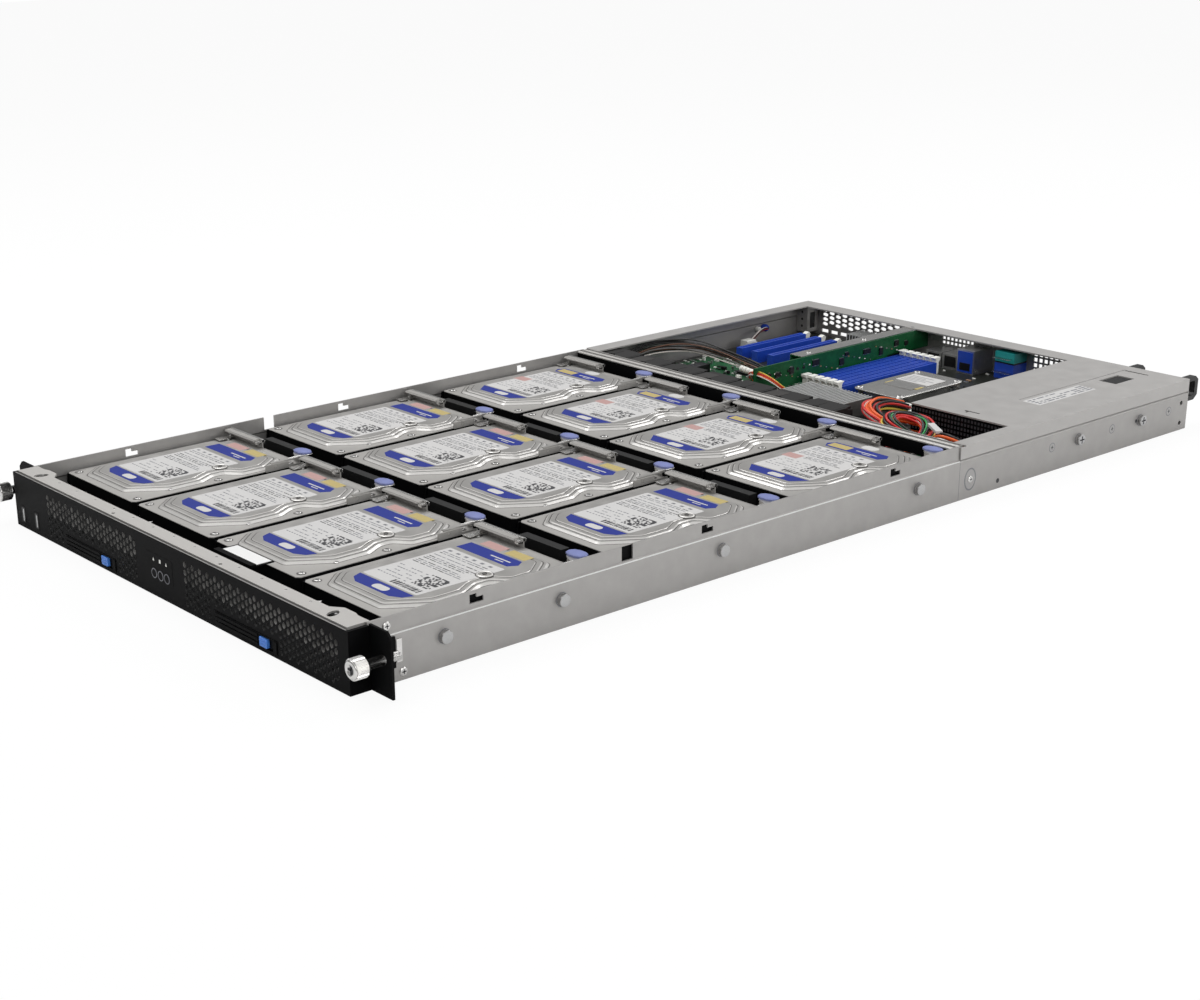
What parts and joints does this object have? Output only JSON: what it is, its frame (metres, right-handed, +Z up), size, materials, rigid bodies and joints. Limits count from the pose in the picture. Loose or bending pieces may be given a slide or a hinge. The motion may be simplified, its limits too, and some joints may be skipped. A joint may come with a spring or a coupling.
{
  "type": "one-unit barebone server",
  "caption": "Flat rack server, open on top: drives in latched trays, a row of fans, boards, cables and pull-out power modules.",
  "frame": {"origin": "on the underside, midway across, in the plane of the front of the rack ears", "axes": "+X to the right seen from the front, +Y from front to rear, +Z up"},
  "size_m": [0.4826, 0.9135, 0.0435],
  "materials": {
    "galvanised_sheet": "satin zinc-coated steel",
    "dark_sheet": "satin black paint",
    "bezel_plastic": "fine matte",
    "screw_steel": "satin",
    "latch_blue": "smooth",
    "button_plastic": "smooth",
    "drive_alloy": "cast and lacquered",
    "fan_plastic": "smooth",
    "board_green": "lacquered board",
    "slot_blue": "smooth",
    "latch_white": "smooth",
    "heat_sink_alloy": "brushed",
    "port_shell": "plated",
    "cable_sleeve": "soft"
  },
  "bodies": {
    "chassis": {"chassis_base": "galvanised_sheet", "rear_wall": "galvanised_sheet", "rear_cover_frame": "galvanised_sheet", "front_bezel": "bezel_plastic", "cross_members": "galvanised_sheet", "rack_ears": "dark_sheet", "bay_guides": "dark_sheet", "drive_backplanes": "board_green", "fan_frames": "fan_plastic", "mainboard": "board_green", "board_slots": "slot_blue", "slot_latches": "latch_white", "heat_sinks": "heat_sink_alloy", "processor_frame": "heat_sink_alloy", "riser_card": "board_green", "rear_ports": "port_shell", "power_cage": "dark_sheet", "inner_cables": "cable_sleeve"},
    "thumbscrew_left": {"thumbscrew_left": "screw_steel"},
    "ssd_tray_left": {"ssd_tray_left": "bezel_plastic"},
    "ssd_latch_left": {"ssd_latch_left": "latch_blue"},
    "thumbscrew_right": {"thumbscrew_right": "screw_steel"},
    "ssd_tray_right": {"ssd_tray_right": "bezel_plastic"},
    "ssd_latch_right": {"ssd_latch_right": "latch_blue"},
    "power_button": {"power_button": "button_plastic"},
    "reset_button": {"reset_button": "button_plastic"},
    "locate_button": {"locate_button": "button_plastic"},
    "carrier_11": {"drive_carrier_11": "drive_alloy"},
    "latch_11": {"tray_latch_11": "latch_blue"},
    "carrier_12": {"drive_carrier_12": "drive_alloy"},
    "latch_12": {"tray_latch_12": "latch_blue"},
    "carrier_13": {"drive_carrier_13": "drive_alloy"},
    "latch_13": {"tray_latch_13": "latch_blue"},
    "carrier_14": {"drive_carrier_14": "drive_alloy"},
    "latch_14": {"tray_latch_14": "latch_blue"},
    "carrier_21": {"drive_carrier_21": "drive_alloy"},
    "latch_21": {"tray_latch_21": "latch_blue"},
    "carrier_22": {"drive_carrier_22": "drive_alloy"},
    "latch_22": {"tray_latch_22": "latch_blue"},
    "carrier_23": {"drive_carrier_23": "drive_alloy"},
    "latch_23": {"tray_latch_23": "latch_blue"},
    "carrier_24": {"drive_carrier_24": "drive_alloy"},
    "latch_24": {"tray_latch_24": "latch_blue"},
    "carrier_31": {"drive_carrier_31": "drive_alloy"},
    "latch_31": {"tray_latch_31": "latch_blue"},
    "carrier_32": {"drive_carrier_32": "drive_alloy"},
    "latch_32": {"tray_latch_32": "latch_blue"},
    "carrier_33": {"drive_carrier_33": "drive_alloy"},
    "latch_33": {"tray_latch_33": "latch_blue"},
    "carrier_34": {"drive_carrier_34": "drive_alloy"},
    "latch_34": {"tray_latch_34": "latch_blue"},
    "rotor_1": {"fan_rotor_1": "fan_plastic"},
    "rotor_2": {"fan_rotor_2": "fan_plastic"},
    "rotor_3": {"fan_rotor_3": "fan_plastic"},
    "rotor_4": {"fan_rotor_4": "fan_plastic"},
    "rotor_5": {"fan_rotor_5": "fan_plastic"},
    "rotor_6": {"fan_rotor_6": "fan_plastic"},
    "rotor_7": {"fan_rotor_7": "fan_plastic"},
    "power_module_left": {"power_module_left": "galvanised_sheet"},
    "power_module_right": {"power_module_right": "galvanised_sheet"}
  },
  "joints": [
    {"name": "thumbscrew_left_turn", "type": "hinge", "parent": "chassis", "child": "thumbscrew_left", "pos_m": [-0.23255, -0.01, 0.0238], "axis": [0, 1, 0], "continuous": true},
    {"name": "ssd_tray_left_slide", "type": "slide", "parent": "chassis", "child": "ssd_tray_left", "axis": [0, -1, 0], "range_m": [0, 0.1]},
    {"name": "ssd_latch_left_press", "type": "slide", "parent": "ssd_tray_left", "child": "ssd_latch_left", "axis": [0, 1, 0], "range_m": [0, 0.0014], "stiffness_N_per_m": 400, "springref_m": -0.0005},
    {"name": "thumbscrew_right_turn", "type": "hinge", "parent": "chassis", "child": "thumbscrew_right", "pos_m": [0.23255, -0.01, 0.0238], "axis": [0, 1, 0], "continuous": true},
    {"name": "ssd_tray_right_slide", "type": "slide", "parent": "chassis", "child": "ssd_tray_right", "axis": [0, -1, 0], "range_m": [0, 0.1]},
    {"name": "ssd_latch_right_press", "type": "slide", "parent": "ssd_tray_right", "child": "ssd_latch_right", "axis": [0, 1, 0], "range_m": [0, 0.0014], "stiffness_N_per_m": 400, "springref_m": -0.0005},
    {"name": "power_button_press", "type": "slide", "parent": "chassis", "child": "power_button", "axis": [0, 1, 0], "range_m": [0, 0.0008], "stiffness_N_per_m": 500, "springref_m": -0.0005},
    {"name": "reset_button_press", "type": "slide", "parent": "chassis", "child": "reset_button", "axis": [0, 1, 0], "range_m": [0, 0.0008], "stiffness_N_per_m": 500, "springref_m": -0.0005},
    {"name": "locate_button_press", "type": "slide", "parent": "chassis", "child": "locate_button", "axis": [0, 1, 0], "range_m": [0, 0.0008], "stiffness_N_per_m": 500, "springref_m": -0.0005},
    {"name": "carrier_11_unplug", "type": "slide", "parent": "chassis", "child": "carrier_11", "axis": [0, -1, 0], "range_m": [0, 0.006]},
    {"name": "latch_11_lift", "type": "hinge", "parent": "carrier_11", "child": "latch_11", "pos_m": [-0.11075, 0.148, 0.0374], "axis": [1, 0, 0], "range_deg": [0, 4], "stiffness_Nm_per_rad": 0.1, "springref_deg": -2.86},
    {"name": "carrier_12_unplug", "type": "slide", "parent": "chassis", "child": "carrier_12", "axis": [0, -1, 0], "range_m": [0, 0.006]},
    {"name": "latch_12_lift", "type": "hinge", "parent": "carrier_12", "child": "latch_12", "pos_m": [-0.00305, 0.148, 0.0374], "axis": [1, 0, 0], "range_deg": [0, 4], "stiffness_Nm_per_rad": 0.1, "springref_deg": -2.86},
    {"name": "carrier_13_unplug", "type": "slide", "parent": "chassis", "child": "carrier_13", "axis": [0, -1, 0], "range_m": [0, 0.006]},
    {"name": "latch_13_lift", "type": "hinge", "parent": "carrier_13", "child": "latch_13", "pos_m": [0.10465, 0.148, 0.0374], "axis": [1, 0, 0], "range_deg": [0, 4], "stiffness_Nm_per_rad": 0.1, "springref_deg": -2.86},
    {"name": "carrier_14_unplug", "type": "slide", "parent": "chassis", "child": "carrier_14", "axis": [0, -1, 0], "range_m": [0, 0.006]},
    {"name": "latch_14_lift", "type": "hinge", "parent": "carrier_14", "child": "latch_14", "pos_m": [0.21235, 0.148, 0.0374], "axis": [1, 0, 0], "range_deg": [0, 4], "stiffness_Nm_per_rad": 0.1, "springref_deg": -2.86},
    {"name": "carrier_21_unplug", "type": "slide", "parent": "chassis", "child": "carrier_21", "axis": [0, -1, 0], "range_m": [0, 0.006]},
    {"name": "latch_21_lift", "type": "hinge", "parent": "carrier_21", "child": "latch_21", "pos_m": [-0.11075, 0.3292, 0.0374], "axis": [1, 0, 0], "range_deg": [0, 4], "stiffness_Nm_per_rad": 0.1, "springref_deg": -2.86},
    {"name": "carrier_22_unplug", "type": "slide", "parent": "chassis", "child": "carrier_22", "axis": [0, -1, 0], "range_m": [0, 0.006]},
    {"name": "latch_22_lift", "type": "hinge", "parent": "carrier_22", "child": "latch_22", "pos_m": [-0.00305, 0.3292, 0.0374], "axis": [1, 0, 0], "range_deg": [0, 4], "stiffness_Nm_per_rad": 0.1, "springref_deg": -2.86},
    {"name": "carrier_23_unplug", "type": "slide", "parent": "chassis", "child": "carrier_23", "axis": [0, -1, 0], "range_m": [0, 0.006]},
    {"name": "latch_23_lift", "type": "hinge", "parent": "carrier_23", "child": "latch_23", "pos_m": [0.10465, 0.3292, 0.0374], "axis": [1, 0, 0], "range_deg": [0, 4], "stiffness_Nm_per_rad": 0.1, "springref_deg": -2.86},
    {"name": "carrier_24_unplug", "type": "slide", "parent": "chassis", "child": "carrier_24", "axis": [0, -1, 0], "range_m": [0, 0.006]},
    {"name": "latch_24_lift", "type": "hinge", "parent": "carrier_24", "child": "latch_24", "pos_m": [0.21235, 0.3292, 0.0374], "axis": [1, 0, 0], "range_deg": [0, 4], "stiffness_Nm_per_rad": 0.1, "springref_deg": -2.86},
    {"name": "carrier_31_unplug", "type": "slide", "parent": "chassis", "child": "carrier_31", "axis": [0, -1, 0], "range_m": [0, 0.006]},
    {"name": "latch_31_lift", "type": "hinge", "parent": "carrier_31", "child": "latch_31", "pos_m": [-0.11075, 0.5104, 0.0374], "axis": [1, 0, 0], "range_deg": [0, 4], "stiffness_Nm_per_rad": 0.1, "springref_deg": -2.86},
    {"name": "carrier_32_unplug", "type": "slide", "parent": "chassis", "child": "carrier_32", "axis": [0, -1, 0], "range_m": [0, 0.006]},
    {"name": "latch_32_lift", "type": "hinge", "parent": "carrier_32", "child": "latch_32", "pos_m": [-0.00305, 0.5104, 0.0374], "axis": [1, 0, 0], "range_deg": [0, 4], "stiffness_Nm_per_rad": 0.1, "springref_deg": -2.86},
    {"name": "carrier_33_unplug", "type": "slide", "parent": "chassis", "child": "carrier_33", "axis": [0, -1, 0], "range_m": [0, 0.006]},
    {"name": "latch_33_lift", "type": "hinge", "parent": "carrier_33", "child": "latch_33", "pos_m": [0.10465, 0.5104, 0.0374], "axis": [1, 0, 0], "range_deg": [0, 4], "stiffness_Nm_per_rad": 0.1, "springref_deg": -2.86},
    {"name": "carrier_34_unplug", "type": "slide", "parent": "chassis", "child": "carrier_34", "axis": [0, -1, 0], "range_m": [0, 0.006]},
    {"name": "latch_34_lift", "type": "hinge", "parent": "carrier_34", "child": "latch_34", "pos_m": [0.21235, 0.5104, 0.0374], "axis": [1, 0, 0], "range_deg": [0, 4], "stiffness_Nm_per_rad": 0.1, "springref_deg": -2.86},
    {"name": "rotor_1_spin", "type": "hinge", "parent": "chassis", "child": "rotor_1", "pos_m": [-0.1898, 0.575, 0.0213], "axis": [0, 1, 0], "continuous": true},
    {"name": "rotor_2_spin", "type": "hinge", "parent": "chassis", "child": "rotor_2", "pos_m": [-0.1482, 0.575, 0.0213], "axis": [0, 1, 0], "continuous": true},
    {"name": "rotor_3_spin", "type": "hinge", "parent": "chassis", "child": "rotor_3", "pos_m": [-0.1066, 0.575, 0.0213], "axis": [0, 1, 0], "continuous": true},
    {"name": "rotor_4_spin", "type": "hinge", "parent": "chassis", "child": "rotor_4", "pos_m": [-0.065, 0.575, 0.0213], "axis": [0, 1, 0], "continuous": true},
    {"name": "rotor_5_spin", "type": "hinge", "parent": "chassis", "child": "rotor_5", "pos_m": [-0.0234, 0.575, 0.0213], "axis": [0, 1, 0], "continuous": true},
    {"name": "rotor_6_spin", "type": "hinge", "parent": "chassis", "child": "rotor_6", "pos_m": [0.0182, 0.575, 0.0213], "axis": [0, 1, 0], "continuous": true},
    {"name": "rotor_7_spin", "type": "hinge", "parent": "chassis", "child": "rotor_7", "pos_m": [0.0598, 0.575, 0.0213], "axis": [0, 1, 0], "continuous": true},
    {"name": "power_module_left_slide", "type": "slide", "parent": "chassis", "child": "power_module_left", "axis": [0, 1, 0], "range_m": [0, 0.19]},
    {"name": "power_module_right_slide", "type": "slide", "parent": "chassis", "child": "power_module_right", "axis": [0, 1, 0], "range_m": [0, 0.19]}
  ]
}
